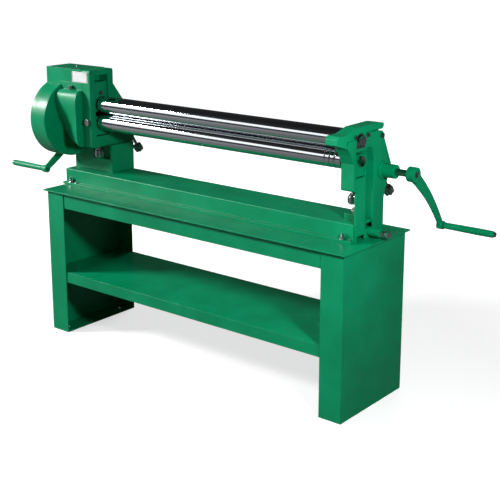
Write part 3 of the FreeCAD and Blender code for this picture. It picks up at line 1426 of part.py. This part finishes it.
def grip(side, sign, centre_x, face, centre):
    """Turning sleeve on a fixed spindle."""
    name = side.title()
    start = f"{face} + {sign} * grip_gap"
    end = f"{start} + {sign} * grip_length"
    half = f"({start} + ({end})) / 2"
    sleeve = revolve(name + "GripSolid", [
        (start, "0"),
        (start, "grip_radius - grip_chamfer"),
        (f"{start} + {sign} * grip_chamfer", "grip_radius"),
        (f"{start} + {sign} * grip_swell_at", "grip_radius + grip_swell"),
        (f"{end} - {sign} * 2 * grip_chamfer", "grip_radius + grip_swell / 2"),
        (end, "grip_radius - grip_chamfer"),
        (end, "0"),
    ], centre)
    low, high = (start, end) if sign > 0 else (end, start)
    bore = rod(name + "GripBore", "x", f"{low} - over", f"{high} + over", centre, "spindle_radius + run_gap")
    piece(cut(name + "Grip", sleeve, [bore]), side + "_grip")
    inner = f"{centre_x} - {sign} * (arm_thick + eye_over)"
    cap = f"{end} + {sign} * spindle_gap"
    outer = f"{cap} + {sign} * spindle_cap"
    spans = {"Pin": (inner, outer, "spindle_radius"), "Cap": (cap, outer, "spindle_head")}
    solids = []
    for part, (first, last, radius) in spans.items():
        low, high = (first, last) if sign > 0 else (last, first)
        solids.append(rod(name + "Spindle" + part, "x", low, high, centre, radius))
    piece(join(name + "Spindle", solids), side + "_spindle")


# Release gate over the right end of the upper roll

def gate():
    body = doc.addObject("PartDesign::Body", "GateArm")
    low = "right_inside + gate_side"
    high = "right_outside - gate_side"
    corners = [
        ("front_y - gate_nose", "upper_z + gate_nose_high"),
        ("front_y - gate_nose + gate_brow_back", "upper_z + gate_brow_up"),
        ("front_y - right_head_front", "upper_z + gate_brow_up"),
        ("front_y - gate_crest_front", "upper_z + gate_crest_up"),
        ("hinge_y - gate_tail_front", "upper_z + gate_tail_up"),
        ("hinge_y + gate_end_back", "upper_z + gate_end_up"),
        ("hinge_y + gate_heel_back", "upper_z + gate_heel_up"),
        ("hinge_y + gate_toe_back", "upper_z + gate_toe_up"),
        ("hinge_y + hinge_flat / 2", "upper_z + arch_rise"),
        ("rear_y - step_front - gate_step_gap", "upper_z + arch_rise"),
        ("rear_y - step_front - gate_step_gap", "split_z"),
        ("front_y - right_head_front - step_gap", "split_z"),
        ("front_y - right_head_front - step_gap", "lower_z + right_head_up + step_gap / 2"),
        ("front_y - gate_nose", "upper_z"),
    ]
    pad(body, "GatePlate", "YZ_Plane", low, high, corners)
    pocket(body, "GateSeat", "YZ_Plane", low, high, rings=[(("front_y", "upper_z"), "cap_radius")])
    spots = [("front_y - gate_nose", "upper_z"), ("front_y - gate_nose", "upper_z + gate_nose_high")]
    soften(body, "GateRounds", "corner_round / 2", lambda edge: along_x(edge) and near(edge, spots))
    knuckle_low = "right_inside + hinge_ear + knuckle_gap"
    knuckle_high = "right_outside - hinge_ear - knuckle_gap"
    hub = rod("GateHub", "x", knuckle_low, knuckle_high, ("hinge_y", "upper_z"), "hinge_hub_radius")
    web = block("GateWeb", (knuckle_low, knuckle_high),
                ("hinge_y - gate_web_half", "hinge_y + hinge_flat / 2"),
                ("upper_z", "upper_z + arch_rise + step_gap"))
    bore = rod("GatePinBore", "x", f"{knuckle_low} - over", f"{knuckle_high} + over", ("hinge_y", "upper_z"),
               "hinge_pin_radius + run_gap")
    piece(cut("Gate", join("GateSolid", [body, hub, web]), [bore]), "gate")
    shell = rod("CapShell", "x", f"{low} + saddle_in", f"{high} - saddle_in",
                ("front_y", "upper_z"), "cap_radius")
    seat = rod("CapSeat", "x", low, high, ("front_y", "upper_z"), "journal_radius + 2 * run_gap")
    below = block("CapBelow", (low, high), ("front_y - cap_radius - over", "front_y + cap_radius + over"),
                  ("upper_z - cap_radius - over", "split_z"))
    piece(cut("GateCap", shell, [seat, below]), "gate_cap")
    pin = rod("PinShank", "x", "right_inside - pin_tail", "right_outside", ("hinge_y", "upper_z"),
              "hinge_pin_radius")
    head = hexagon("PinHead", "x", "right_outside", "right_outside + pin_head", ("hinge_y", "upper_z"),
                   "pin_head_across")
    piece(join("GatePin", [pin, head]), "gate_pin")
    bolts = [
        hexagon("CapBolt" + end, "x", high, f"{high} + gate_bolt_height", (y, "upper_z + gate_bolt_up"),
                "gate_bolt_across")
        for end, y in (("Front", "front_y - gate_bolt_front"), ("Rear", "front_y + gate_bolt_back"))
    ]
    group = doc.addObject("Part::Compound", "GateBolts")
    group.Links = bolts
    piece(group, "gate_bolts")


def check(item):
    """Stop on a failed object or a broken shape."""
    if any(word in item.State for word in ("Invalid", "Error")):
        raise RuntimeError(item.Label + " failed: " + str(item.State))


def main():
    stand()
    bed()
    end_bolt()
    left_frame()
    right_frame()
    frame_bolts()
    rolls()
    lower_blocks()
    upper_blocks()
    rear_blocks()
    lower_screws()
    rear_screws()
    gears()
    gear_case()
    gear_guard()
    guard_screws()
    top_cover()
    drive()
    crank("right", 1, "right_shaft_end - hub_width / 2", "right_crank_angle")
    crank("left", -1, "0 - left_shaft_end + hub_width / 2", "left_crank_angle")
    gate()
    doc.recompute()
    for item in doc.Objects:
        check(item)
    os.makedirs("parts", exist_ok=True)
    for item in pieces:
        shape = item.Shape
        if shape.isNull() or not shape.isValid():
            raise RuntimeError(item.Label + " has no valid shape")
        shape.exportStep(f"parts/{item.Label}.step")
        print(item.Label, len(shape.Solids), round(shape.Volume / 1000, 1))


main()
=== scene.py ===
"""Slip roll machine on a stand: looks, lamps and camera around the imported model."""
import math

import bmesh
import bpy
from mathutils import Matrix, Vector


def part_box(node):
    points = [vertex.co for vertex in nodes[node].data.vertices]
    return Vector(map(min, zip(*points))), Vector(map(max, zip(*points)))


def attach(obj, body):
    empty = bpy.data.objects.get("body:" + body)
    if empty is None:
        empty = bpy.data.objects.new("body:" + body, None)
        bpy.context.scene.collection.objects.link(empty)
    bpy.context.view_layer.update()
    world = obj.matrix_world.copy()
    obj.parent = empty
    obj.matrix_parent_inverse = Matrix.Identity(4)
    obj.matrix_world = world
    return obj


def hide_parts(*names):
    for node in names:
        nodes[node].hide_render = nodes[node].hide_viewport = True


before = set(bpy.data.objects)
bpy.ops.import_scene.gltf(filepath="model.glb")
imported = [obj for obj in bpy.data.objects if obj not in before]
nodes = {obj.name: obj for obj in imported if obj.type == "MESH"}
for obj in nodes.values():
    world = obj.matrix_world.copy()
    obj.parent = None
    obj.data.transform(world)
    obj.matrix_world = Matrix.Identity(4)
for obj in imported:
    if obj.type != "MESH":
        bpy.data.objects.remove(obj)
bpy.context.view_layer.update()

# Camera, fitted to the photograph
CAMERA_PLACE = (2.7950, -3.2230, 1.7630)
CAMERA_YAW = 38.86
CAMERA_PITCH = 13.53
CAMERA_LENS = 75.70
CAMERA_SHIFT = -0.12
SENSOR = 36.0

# Colours, as linear values
GREEN = (0.0006, 0.262, 0.110)
GREEN_DARK = (0.0005, 0.222, 0.092)
GREEN_WORN = (0.004, 0.300, 0.136)
WHITE = (0.80, 0.81, 0.80)
STEEL = (0.42, 0.43, 0.45)
CHROME = (0.62, 0.65, 0.68)
ZINC = (0.66, 0.67, 0.69)
BRONZE = (0.55, 0.38, 0.18)

# Enamel's tone stops, and how much darker the low spots of the metals and the white are
TONE_STOPS = (0.30, 0.55, 0.80)
METAL_SHADE = 0.82
WHITE_SHADE = 0.93

# Floor and backdrop: share of glow in mirrors, whiteness to the eye and to bounced light
GLOSSY_SHARE = 0.05
GLOW_SPAN = (1.2, 3.2, 0.62, 0.97)
FLOOR_WHITE = 0.60
FLOOR_BOUNCE = 0.16
FLOOR_SIZE = 60.0
WORLD_FILL = 0.07

# Pieces built here, in metres and radians
SMOOTH_ANGLE = math.radians(38)
TURN_STEPS = 72
KNOB_LOBES = 6
KNOB_NOTCH = 0.0062
KNOB_RADIUS = 0.0222
KNOB_NECK = 0.50
KNOB_ROUND = 3.2
KNOB_RINGS = 18
NOTCH_WIDTH = 0.21
NOTCH_FULL_AT = 0.018
UPRIGHT_KNOB = 0.040
SLIDE_ANGLE = math.radians(57)
CHAMFER_SLOPE = 0.55
CHAMFER_START = 0.97
CROWN = 0.95
CROWN_FLAT = 0.30
WASHER_THICK = 0.0016
STUD_SHARE = 0.31
STUD_TIP = 0.82
RIM_INSET = 0.0035
RIM_WIDE = 0.0012
RIM_PROUD = 0.0006
RIVET_INSET = 0.0075
RIVET_RINGS = [(0.0, 0.0022), (0.0006, 0.0020), (0.0010, 0.0013), (0.0012, 0.0005)]


def camera():
    data = bpy.data.cameras.new("photo_camera")
    data.sensor_width = SENSOR
    data.lens = CAMERA_LENS
    data.clip_end = 200.0
    data.shift_y = CAMERA_SHIFT
    holder = bpy.data.objects.new("photo_camera", data)
    holder.location = CAMERA_PLACE
    holder.rotation_euler = (math.radians(90 - CAMERA_PITCH), 0, math.radians(CAMERA_YAW))
    bpy.context.scene.collection.objects.link(holder)
    bpy.context.scene.camera = holder


def area_lamp(name, place, target, size, power, glossy=True):
    """Rectangular lamp, in watts, aimed at a point; glossy says whether metal mirrors it."""
    data = bpy.data.lights.new(name, "AREA")
    data.shape = "RECTANGLE"
    data.size, data.size_y = size
    data.energy = power
    lamp = bpy.data.objects.new(name, data)
    lamp.location = place
    aim = Vector(target) - Vector(place)
    lamp.rotation_euler = aim.to_track_quat("-Z", "Y").to_euler()
    lamp.visible_glossy = glossy
    bpy.context.scene.collection.objects.link(lamp)
    return lamp


class Shader:
    """A material under construction, with short ways to add and join nodes."""

    def __init__(self, name):
        self.material = bpy.data.materials.new(name)
        self.material.use_nodes = True
        self.tree = self.material.node_tree
        self.tree.nodes.clear()
        self.output = self.node("ShaderNodeOutputMaterial")
        self.bsdf = self.node("ShaderNodeBsdfPrincipled")
        self.join(self.bsdf, "BSDF", self.output, "Surface")
        self.place = self.node("ShaderNodeTexCoord")

    def node(self, kind, **settings):
        made = self.tree.nodes.new(kind)
        for key, setting in settings.items():
            setattr(made, key, setting)
        return made

    def join(self, source, out, target, into):
        self.tree.links.new(source.outputs[out], target.inputs[into])

    def noise(self, scale, detail=3.0, stretch=None):
        made = self.node("ShaderNodeTexNoise")
        made.inputs["Scale"].default_value = scale
        made.inputs["Detail"].default_value = detail
        if stretch:
            mapping = self.node("ShaderNodeMapping")
            mapping.inputs["Scale"].default_value = stretch
            self.join(self.place, "Object", mapping, "Vector")
            self.join(mapping, "Vector", made, "Vector")
        else:
            self.join(self.place, "Object", made, "Vector")
        return made

    def ramp(self, source, out, stops):
        made = self.node("ShaderNodeValToRGB")
        ramp = made.color_ramp
        while len(ramp.elements) < len(stops):
            ramp.elements.new(0.5)
        for element, (place, colour) in zip(ramp.elements, stops):
            element.position = place
            element.color = (*colour, 1.0)
        self.join(source, out, made, "Fac")
        return made

    def span(self, source, out, low, high, to_low, to_high):
        made = self.node("ShaderNodeMapRange")
        made.inputs["From Min"].default_value = low
        made.inputs["From Max"].default_value = high
        made.inputs["To Min"].default_value = to_low
        made.inputs["To Max"].default_value = to_high
        self.join(source, out, made, "Value")
        return made

    def bump(self, source, out, distance, strength, rounded=None):
        made = self.node("ShaderNodeBump")
        made.inputs["Distance"].default_value = distance
        made.inputs["Strength"].default_value = strength
        self.join(source, out, made, "Height")
        if rounded:
            self.join(rounded, "Normal", made, "Normal")
        self.join(made, "Normal", self.bsdf, "Normal")
        return made

    def rounded(self, radius):
        made = self.node("ShaderNodeBevel", samples=6)
        made.inputs["Radius"].default_value = radius
        return made

    def set(self, **settings):
        for key, setting in settings.items():
            self.bsdf.inputs[key.replace("_", " ")].default_value = setting


def enamel(name, grain, depth, radius, rough):
    """Green enamel: grain is the texture's size in 1/m, depth its height in metres."""
    s = Shader(name)
    s.set(IOR=1.45)
    s.set(Specular_IOR_Level=0.35)
    clouds = s.noise(7.0, 4.0)
    tone = s.ramp(clouds, "Fac", list(zip(TONE_STOPS, (GREEN_DARK, GREEN, GREEN_WORN))))
    s.join(tone, "Color", s.bsdf, "Base Color")
    wear = s.noise(28.0, 5.0)
    gloss = s.span(wear, "Fac", 0.3, 0.7, rough - 0.05, rough + 0.08)
    s.join(gloss, "Result", s.bsdf, "Roughness")
    skin = s.noise(grain, 2.0)
    s.bump(skin, "Fac", depth, 1.0, s.rounded(radius))
    return s.material


def metal(name, colour, rough, stretch=None, depth=0.00002, grain=400.0, radius=0.0006):
    """Ground or plated metal: grain is the scratches' size in 1/m, depth their height in metres."""
    s = Shader(name)
    s.set(Metallic=1.0)
    grind = s.noise(grain, 3.0, stretch)
    darker = tuple(c * METAL_SHADE for c in colour)
    tone = s.ramp(grind, "Fac", [(0.35, darker), (0.65, colour)])
    s.join(tone, "Color", s.bsdf, "Base Color")
    gloss = s.span(grind, "Fac", 0.3, 0.7, rough * 0.85, rough * 1.25)
    s.join(gloss, "Result", s.bsdf, "Roughness")
    s.bump(grind, "Fac", depth, 1.0, s.rounded(radius))
    return s.material


def white_enamel(name):
    s = Shader(name)
    s.set(Roughness=0.35)
    film = s.noise(60.0, 3.0)
    darker = tuple(c * WHITE_SHADE for c in WHITE)
    tone = s.ramp(film, "Fac", [(0.35, darker), (0.6, WHITE)])
    s.join(tone, "Color", s.bsdf, "Base Color")
    s.bump(film, "Fac", 0.00003, 1.0, s.rounded(0.0005))
    return s.material


def seen(tree, share):
    """A strength that camera, glossy and transmission rays see, and no other ray."""
    path = tree.nodes.new("ShaderNodeLightPath")
    total = None
    for ray in ("Is Camera Ray", "Is Glossy Ray", "Is Transmission Ray"):
        step = tree.nodes.new("ShaderNodeMath")
        step.operation = "MULTIPLY"
        tree.links.new(path.outputs[ray], step.inputs[0])
        step.inputs[1].default_value = share if ray != "Is Glossy Ray" else share * GLOSSY_SHARE
        if total is None:
            total = step
            continue
        adder = tree.nodes.new("ShaderNodeMath")
        adder.operation = "MAXIMUM"
        tree.links.new(total.outputs[0], adder.inputs[0])
        tree.links.new(step.outputs[0], adder.inputs[1])
        total = adder
    return total


def studio_floor():
    material = bpy.data.materials.new("studio_floor")
    material.use_nodes = True
    tree = material.node_tree
    tree.nodes.clear()
    output = tree.nodes.new("ShaderNodeOutputMaterial")
    path = tree.nodes.new("ShaderNodeLightPath")
    matt = tree.nodes.new("ShaderNodeMixShader")
    tree.links.new(path.outputs["Is Camera Ray"], matt.inputs["Fac"])
    for place, white in ((1, FLOOR_BOUNCE), (2, FLOOR_WHITE)):
        side = tree.nodes.new("ShaderNodeBsdfDiffuse")
        side.inputs["Color"].default_value = (white, white, white, 1)
        tree.links.new(side.outputs[0], matt.inputs[place])
    glow = tree.nodes.new("ShaderNodeEmission")
    place = tree.nodes.new("ShaderNodeTexCoord")
    away = tree.nodes.new("ShaderNodeVectorMath")
    away.operation = "LENGTH"
    tree.links.new(place.outputs["Object"], away.inputs[0])
    level = tree.nodes.new("ShaderNodeMapRange")
    for socket, setting in zip(("From Min", "From Max", "To Min", "To Max"), GLOW_SPAN):
        level.inputs[socket].default_value = setting
    tree.links.new(away.outputs["Value"], level.inputs["Value"])
    share = tree.nodes.new("ShaderNodeMath")
    share.operation = "MULTIPLY"
    tree.links.new(seen(tree, 1.0).outputs[0], share.inputs[0])
    tree.links.new(level.outputs["Result"], share.inputs[1])
    tree.links.new(share.outputs[0], glow.inputs["Strength"])
    both = tree.nodes.new("ShaderNodeAddShader")
    tree.links.new(matt.outputs[0], both.inputs[0])
    tree.links.new(glow.outputs[0], both.inputs[1])
    tree.links.new(both.outputs[0], output.inputs["Surface"])
    mesh = bpy.data.meshes.new("studio_floor")
    made = bmesh.new()
    bmesh.ops.create_grid(made, x_segments=4, y_segments=4, size=FLOOR_SIZE)
    made.to_mesh(mesh)
    made.free()
    floor = bpy.data.objects.new("studio_floor", mesh)
    floor.data.materials.append(material)
    bpy.context.scene.collection.objects.link(floor)


def studio_world():
    world = bpy.data.worlds.new("studio")
    bpy.context.scene.world = world
    world.use_nodes = True
    tree = world.node_tree
    tree.nodes.clear()
    output = tree.nodes.new("ShaderNodeOutputWorld")
    path = tree.nodes.new("ShaderNodeLightPath")
    fill = tree.nodes.new("ShaderNodeBackground")
    fill.inputs["Color"].default_value = (0.92, 0.97, 1.0, 1)
    fill.inputs["Strength"].default_value = WORLD_FILL
    room = tree.nodes.new("ShaderNodeBackground")
    room.inputs["Strength"].default_value = 1.0
    place = tree.nodes.new("ShaderNodeTexCoord")
    parts = tree.nodes.new("ShaderNodeSeparateXYZ")
    tree.links.new(place.outputs["Generated"], parts.inputs[0])
    ramp = tree.nodes.new("ShaderNodeValToRGB")
    stops = [(0.0, 0.16), (0.05, 0.05), (1.0, 0.01)]
    while len(ramp.color_ramp.elements) < len(stops):
        ramp.color_ramp.elements.new(0.5)
    for element, (at, shade) in zip(ramp.color_ramp.elements, stops):
        element.position = at
        element.color = (shade, shade * 1.02, shade * 1.05, 1)
    tree.links.new(parts.outputs["Z"], ramp.inputs["Fac"])
    tree.links.new(ramp.outputs["Color"], room.inputs["Color"])
    white = tree.nodes.new("ShaderNodeBackground")
    white.inputs["Strength"].default_value = 1.0
    glossy = tree.nodes.new("ShaderNodeMixShader")
    tree.links.new(path.outputs["Is Glossy Ray"], glossy.inputs["Fac"])
    tree.links.new(fill.outputs[0], glossy.inputs[1])
    tree.links.new(room.outputs[0], glossy.inputs[2])
    last = tree.nodes.new("ShaderNodeMixShader")
    tree.links.new(path.outputs["Is Camera Ray"], last.inputs["Fac"])
    tree.links.new(glossy.outputs[0], last.inputs[1])
    tree.links.new(white.outputs[0], last.inputs[2])
    tree.links.new(last.outputs[0], output.inputs["Surface"])


camera()
studio_floor()
studio_world()
area_lamp("key", (-4.10, -2.90, 3.00), (0.0, 0.0, 0.75), (1.0, 0.8), 320)
area_lamp("strip", (-2.9, -3.3, 2.15), (0.0, 0.0, 1.0), (3.6, 1.5), 28)
area_lamp("near", (1.99, -0.97, 1.46), (0.2, 0.0, 0.5), (0.22, 0.22), 33, glossy=False)
area_lamp("rear", (-1.6, 4.5, 2.0), (0.0, 0.0, 0.7), (2.0, 1.5), 90, glossy=False)

# Materials on the carried nodes
looks = {
    "green_paint": enamel("green_paint", 900.0, 0.00004, 0.0022, 0.34),
    "green_casting": enamel("green_casting", 260.0, 0.00025, 0.0045, 0.40),
    "chrome_roll": metal("chrome_roll", CHROME, 0.06, (8.0, 1.0, 1.0), 0.000003),
    "machined_steel": metal("machined_steel", STEEL, 0.30),
    "zinc_plate": metal("zinc_plate", ZINC, 0.26),
    "bearing_bronze": metal("bearing_bronze", BRONZE, 0.32),
    "white_plate": white_enamel("white_plate"),
}
for part in nodes.values():
    for slot in part.material_slots:
        old = slot.material.name.split(".")[0] if slot.material else ""
        if old in looks:
            slot.material = looks[old]

# Pieces built here, in place of the plain CAD ones or on them

def piece_from(made, name, body, look, smooth=True):
    """Turns a finished bmesh into a piece that rides on a body."""
    mesh = bpy.data.meshes.new(name)
    bmesh.ops.recalc_face_normals(made, faces=made.faces)
    made.to_mesh(mesh)
    made.free()
    for face in mesh.polygons:
        face.use_smooth = smooth
    piece = bpy.data.objects.new(name, mesh)
    bpy.context.scene.collection.objects.link(piece)
    mesh.materials.append(looks[look])
    if smooth:
        mesh.set_sharp_from_angle(angle=SMOOTH_ANGLE)
    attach(piece, body)
    return piece


def turned(made, centre, axis, rings, radius_at=None, across=None):
    """A closed form on an axis. Each ring is (height, radius); radius_at(angle, share) shapes it."""
    axis = Vector(axis).normalized()
    side = Vector(across) if across else Vector((1, 0, 0))
    if abs(side.dot(axis)) > 0.9:
        side = Vector((0, 1, 0))
    side = (side - axis * side.dot(axis)).normalized()
    other = axis.cross(side)
    rows = []
    for height, radius in rings:
        row = []
        for step in range(TURN_STEPS):
            angle = 2 * math.pi * step / TURN_STEPS
            reach, rise = radius_at(angle, radius, height) if radius_at else (radius, height)
            spot = Vector(centre) + axis * rise + (side * math.cos(angle) + other * math.sin(angle)) * reach
            row.append(made.verts.new(spot))
        rows.append(row)
    for low, high in zip(rows, rows[1:]):
        for step in range(TURN_STEPS):
            after = (step + 1) % TURN_STEPS
            made.faces.new((low[step], low[after], high[after], high[step]))
    made.faces.new(list(reversed(rows[0])))
    made.faces.new(rows[-1])


def knob_radius(angle, radius, height):
    """Rounded lobes: six notches bitten out of the rim."""
    pitch = 2 * math.pi / KNOB_LOBES
    off = (angle + pitch / 2) % pitch - pitch / 2
    bite = KNOB_NOTCH * math.exp(-(off / NOTCH_WIDTH) ** 2)
    return radius - bite * min(1.0, radius / NOTCH_FULL_AT), height


def star_knob(node, screw_node, body):
    """Bulbous lobed knob in place of the CAD knob, on its own screw."""
    verts = [v.co for v in nodes[node].data.vertices]
    centre = sum(verts, Vector()) / len(verts)
    low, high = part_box(node)
    screw_low, screw_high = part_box(screw_node)
    if high.z - low.z < UPRIGHT_KNOB:
        axis = Vector((0, 0, 1))
    else:
        axis = Vector((0, -math.cos(SLIDE_ANGLE), math.sin(SLIDE_ANGLE)))
    along = [(v - centre).dot(axis) for v in verts]
    half = (max(along) - min(along)) / 2
    middle = centre + axis * (max(along) + min(along)) / 2
    middle.x = (low.x + high.x) / 2
    if axis.z > 0.99:
        middle.y = (screw_low.y + screw_high.y) / 2
    rings = []
    for step in range(KNOB_RINGS + 1):
        share = step / KNOB_RINGS * 2 - 1
        height = half * math.sin(share * math.pi / 2)
        swell = (1 - abs(height / half) ** KNOB_ROUND) ** (1 / KNOB_ROUND) if abs(height) < half else 0.0
        rings.append((height, KNOB_RADIUS * (KNOB_NECK + (1 - KNOB_NECK) * swell)))
    made = bmesh.new()
    turned(made, middle, axis, rings, knob_radius)
    piece = piece_from(made, node + "_star", body, "machined_steel")
    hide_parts(node)


for end in ("left", "right"):
    star_knob(f"lower_{end}_knob", f"lower_{end}_screw", f"lower_{end}_adjuster")
    star_knob(f"rear_{end}_knob", f"rear_{end}_screw", f"rear_{end}_adjuster")


def islands(node):
    """The separate solids of one node, each as its lowest and highest corner."""
    made = bmesh.new()
    made.from_mesh(nodes[node].data)
    bmesh.ops.remove_doubles(made, verts=made.verts, dist=1e-6)
    left = set(made.verts)
    found = []
    while left:
        seed = left.pop()
        group = [seed]
        queue = [seed]
        while queue:
            for edge in queue.pop().link_edges:
                for vert in edge.verts:
                    if vert in left:
                        left.remove(vert)
                        group.append(vert)
                        queue.append(vert)
        low = Vector(min(v.co[i] for v in group) for i in range(3))
        high = Vector(max(v.co[i] for v in group) for i in range(3))
        found.append((low, high))
    made.free()
    return sorted(found, key=lambda pair: tuple(pair[0]))


def hex_head(made, base, axis, flats, height, across=None):
    """Hex head with the curved chamfer of a turned crown."""
    half = flats / 2

    def reach(angle, radius, rise):
        off = (angle + math.pi / 6) % (math.pi / 3) - math.pi / 6
        edge = half / math.cos(off)
        if rise <= 0:
            return edge, rise
        if radius < half:
            return radius, rise
        return edge, rise - (edge - half * CHAMFER_START) * CHAMFER_SLOPE

    rings = [(0.0, half), (height, half), (height, half * CROWN), (height, half * CROWN_FLAT)]
    turned(made, base, axis, rings, reach, across)


def hex_heads(node, body, axis, slot_name, flats_axis, washer=0.0, shank=0.0):
    """Chamfered heads on washers in place of a node's plain hexagons."""
    made = bmesh.new()
    way = Vector(axis)
    index = max(range(3), key=lambda i: abs(way[i]))
    side = Vector((0, 0, 0))
    side[flats_axis] = 1.0
    for low, high in islands(node):
        base = (low + high) / 2
        base[index] = low[index] if way[index] > 0 else high[index]
        height = high[index] - low[index]
        flats = high[flats_axis] - low[flats_axis]
        if washer:
            rim = flats * washer / 2
            rings = [(0.0, rim), (WASHER_THICK * 0.7, rim), (WASHER_THICK, rim * 0.97)]
            turned(made, base, way, rings)
        start = WASHER_THICK if washer else 0.0
        head = height - start
        if shank:
            head = height * shank - start
            stud = flats * STUD_SHARE
            rings = [(0.0, stud), (height * 0.96, stud), (height, stud * STUD_TIP)]
            turned(made, base, way, rings)
        hex_head(made, base + way * start, way, flats, head, side)
    piece = piece_from(made, node + "_heads", body, slot_name)
    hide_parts(node)


hex_heads("frame_bolts", "stand", (0, 0, 1), "zinc_plate", 1, washer=1.35)
hex_heads("bed_screws", "stand", (0, 0, 1), "zinc_plate", 1)
hex_heads("bed_bolts", "stand", (0, 0, 1), "zinc_plate", 1, washer=1.45, shank=0.58)


def plate_rim():
    """Raised border and four rivets on the bare nameplate."""
    low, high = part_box("nameplate")
    face = low.y
    made = bmesh.new()
    loops = []
    inner = RIM_INSET + RIM_WIDE
    for edge, depth in ((RIM_INSET, 0.0), (RIM_INSET, RIM_PROUD), (inner, RIM_PROUD), (inner, 0.0)):
        spots = ((low.x + edge, low.z + edge), (high.x - edge, low.z + edge),
                 (high.x - edge, high.z - edge), (low.x + edge, high.z - edge))
        loops.append([made.verts.new((x, face - depth, z)) for x, z in spots])
    loops.append(loops[0])
    for first, second in zip(loops, loops[1:]):
        for step in range(4):
            after = (step + 1) % 4
            made.faces.new((first[step], first[after], second[after], second[step]))
    piece_from(made, "nameplate_rim", "stand", "machined_steel", smooth=False)
    made = bmesh.new()
    for x in (low.x + RIVET_INSET, high.x - RIVET_INSET):
        for z in (low.z + RIVET_INSET, high.z - RIVET_INSET):
            turned(made, (x, face, z), (0, -1, 0), RIVET_RINGS)
    piece_from(made, "nameplate_rivets", "stand", "machined_steel")


plate_rim()

bpy.context.scene.view_settings.view_transform = "Standard"
